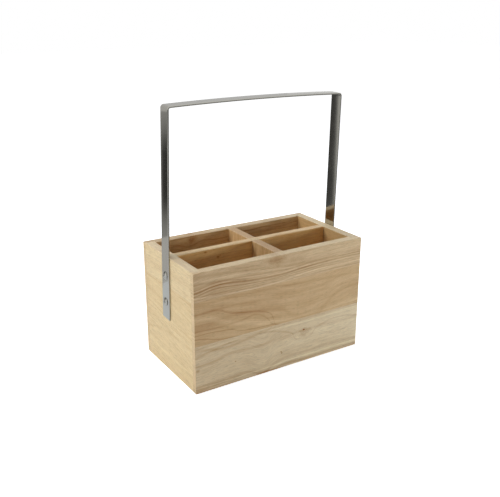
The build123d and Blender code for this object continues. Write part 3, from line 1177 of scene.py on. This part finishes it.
# %% [markdown]
# ## Cards for the steel
#
# Polished steel has no look of its own: it shows the room. The room here is white, so the bar
# would come out white too. In the picture its legs are mostly dark and its top is a mid grey, and
# those are dark and grey walls or cards seen in the metal. Photographers put such cards beside
# metal on purpose. These are seen by reflections only, so they take no light from the wood. The
# two darkest ones fade towards their borders, which makes the soft bands on the legs.

# %% Cards
CARDS = {
    # name: (x from, to, y from, to, z from, to) in mm, glow, and for a card that fades the glow
    # of its border and how wide the border is in x and in z
    "card_left": ((-420, -203, 200, 200, 104, 290), 0.045, 0.34, (11.0, 66.0)),
    "card_left_grey": ((-700, 200, 210, 210, 25, 385), 0.60),
    "card_behind": ((-60, 80, 200, 200, 60, 350), 0.07, 0.24, (12.0, 60.0)),
    "card_back_wall": ((-900, 1500, 600, 600, 430, 1000), 0.64),
    "card_front": ((-230, 300, -250, -250, 20, 300), 0.32),
    "card_front_low": ((-110, 20, -250, -90, 2, 2), 0.10),
    "card_front_right": ((60, 430, -255, -255, 20, 300), 0.32),
}


def studio_card(name, place, glow, border_glow=None, border=None):
    """A flat card that only reflections see, upright or lying, and plain or fading.

    On a card that fades, the glow changes with the distance to the sides, over the width of
    the border: glow where both x and z are well inside, and border_glow along the sides.
    """
    x_from, x_to, y_from, y_to, z_from, z_to = place
    material, tree, shader = new_material(name)
    shader.inputs["Base Color"].default_value = (0.0, 0.0, 0.0, 1.0)
    shader.inputs["Specular IOR Level"].default_value = 0.0
    shader.inputs["Emission Color"].default_value = (1.0, 1.0, 1.0, 1.0)
    shader.inputs["Emission Strength"].default_value = glow
    if border:
        spot = scaled(tree, tree.nodes.new("ShaderNodeTexCoord").outputs["Object"], (1 / MM,) * 3)
        cover = 1.0
        for axis, near, far, width in ((0, x_from, x_to, border[0]), (2, z_from, z_to, border[1])):
            value = add_node(tree, "ShaderNodeSeparateXYZ", {0: spot}, output=axis)
            off = calculate(tree, "ABSOLUTE", calculate(tree, "SUBTRACT", value, (near + far) / 2))
            half = (far - near) / 2
            cover = calculate(tree, "MULTIPLY", cover, between(tree, off, half, half - width))
        tree.links.new(
            between(tree, cover, 0.0, 1.0, border_glow, glow, smooth=False),
            shader.inputs["Emission Strength"],
        )
    near_side = [(x_from, y_from, z_from), (x_to, y_from, z_from)]
    far_side = [(x_to, y_to, z_to), (x_from, y_to, z_to)]
    mesh = bpy.data.meshes.new(name)
    mesh.from_pydata((np.array(near_side + far_side) * MM).tolist(), [], [(0, 1, 2, 3)])
    mesh.materials.append(material)
    card = bpy.data.objects.new(name, mesh)
    bpy.context.scene.collection.objects.link(card)
    for ray in ("camera", "diffuse", "shadow", "transmission", "volume_scatter"):
        setattr(card, f"visible_{ray}", False)


for card_name, card in CARDS.items():
    studio_card(card_name, *card)
print("cards:", list(CARDS))

# %% [markdown]
# ## Steel
#
# The bar is plain stainless steel with a soft polish. Rolling and polishing run along the bar, so
# its faint lines are noise stretched along the bar's own UV map, and they follow the bends. On top
# come smudges from hands, a few fine scratches, and edges that are duller and darker than the
# faces. Most of this goes into the roughness, because that is how wear shows on metal.

# %% The bar's steel
STEEL = (0.50, 0.485, 0.435)


def bar_steel():
    """Brushed noise along the bar, smudges in space, and duller cut edges."""
    material, tree, shader = new_material("polished_bar_steel")
    spot = tree.nodes.new("ShaderNodeTexCoord").outputs
    round_bar = scaled(tree, add_node(tree, "ShaderNodeUVMap", {}, uv_map="bar"), (1 / MM,) * 3)
    place = scaled(tree, spot["Object"], (1 / MM,) * 3)
    brushed = noise(tree, round_bar, (0.03, 2.4, 0.0), 3.0, 0.6)
    scratches = between(tree, noise(tree, round_bar, (0.09, 5.0, 0.0), 0.0), 0.72, 0.80)
    smudges = noise(tree, place, (0.05, 0.05, 0.035), 3.0, 0.6)
    off_face = add_node(
        tree, "ShaderNodeVectorMath", {0: spot["Normal"], 1: tuple(handle_front)},
        output="Value", operation="DOT_PRODUCT",
    )
    edge = between(tree, calculate(tree, "ABSOLUTE", off_face), 0.5, 0.95)

    light = calculate(tree, "MULTIPLY_ADD", brushed, 0.08, 0.96)
    light = calculate(tree, "MULTIPLY", light, calculate(tree, "MULTIPLY_ADD", smudges, 0.10, 0.95))
    light = calculate(tree, "MULTIPLY", light, calculate(tree, "MULTIPLY_ADD", edge, -0.22, 1.0))
    metal = mix_colours(tree, 1.0, (*STEEL, 1.0), light, "MULTIPLY")
    tree.links.new(metal, shader.inputs["Base Color"])
    rough = calculate(tree, "MULTIPLY_ADD", brushed, 0.03, 0.045)
    rough = calculate(tree, "MULTIPLY_ADD", smudges, 0.05, rough)
    rough = calculate(tree, "MULTIPLY_ADD", scratches, 0.12, rough)
    rough = calculate(tree, "MULTIPLY_ADD", edge, 0.10, rough)
    tree.links.new(rough, shader.inputs["Roughness"])
    bump = add_node(
        tree, "ShaderNodeBump", {"Strength": 0.12, "Distance": 0.01 * MM, "Height": brushed}
    )
    tree.links.new(bump, shader.inputs["Normal"])
    shader.inputs["Metallic"].default_value = 1.0
    return material


add_piece(
    "handle_bar",
    mesh_from_rings("handle_bar", bar_rings, section_round, bar_stations),
    bar_steel(),
    "strap_steel",
    "handle_strap",
)

# %% [markdown]
# The screws are the same steel, bright on the dome and dull down in the cross and round the foot
# of the head, where polish never reaches. Both places are also darkened, which is painted shade.
# How dark a point is made is kept with the mesh, in an attribute of its own, so the material
# needs no guess about it.

# %% The screws' steel
def screw_steel():
    """Bright, slightly stained domes, and dull recesses darkened with painted shade."""
    material, tree, shader = new_material("screw_steel")
    spot = tree.nodes.new("ShaderNodeTexCoord").outputs
    place = scaled(tree, spot["Object"], (1 / MM,) * 3)
    painted_shade = add_node(tree, "ShaderNodeAttribute", {}, output="Fac", attribute_name="painted_shade")
    stains = noise(tree, place, (0.5, 0.5, 0.5), 3.0, 0.6)
    grit = noise(tree, place, (2.5, 2.5, 2.5), 2.0, 0.5)
    light = calculate(tree, "MULTIPLY_ADD", stains, 0.12, 0.94)
    # painted shade: the cross and the foot of the head are darkened
    light = calculate(tree, "MULTIPLY", light, calculate(tree, "MULTIPLY_ADD", painted_shade, -0.7, 1.0))
    metal = mix_colours(tree, 1.0, (*STEEL, 1.0), light, "MULTIPLY")
    tree.links.new(metal, shader.inputs["Base Color"])
    rough = calculate(tree, "MULTIPLY_ADD", stains, 0.08, 0.10)
    rough = calculate(tree, "MULTIPLY_ADD", painted_shade, 0.35, rough)
    tree.links.new(rough, shader.inputs["Roughness"])
    bump = add_node(
        tree, "ShaderNodeBump", {"Strength": 0.15, "Distance": 0.02 * MM, "Height": grit}
    )
    tree.links.new(bump, shader.inputs["Normal"])
    shader.inputs["Metallic"].default_value = 1.0
    return material


add_piece("pan_head_screws", screw_mesh(), screw_steel(), "screw_steel", "handle_screws")
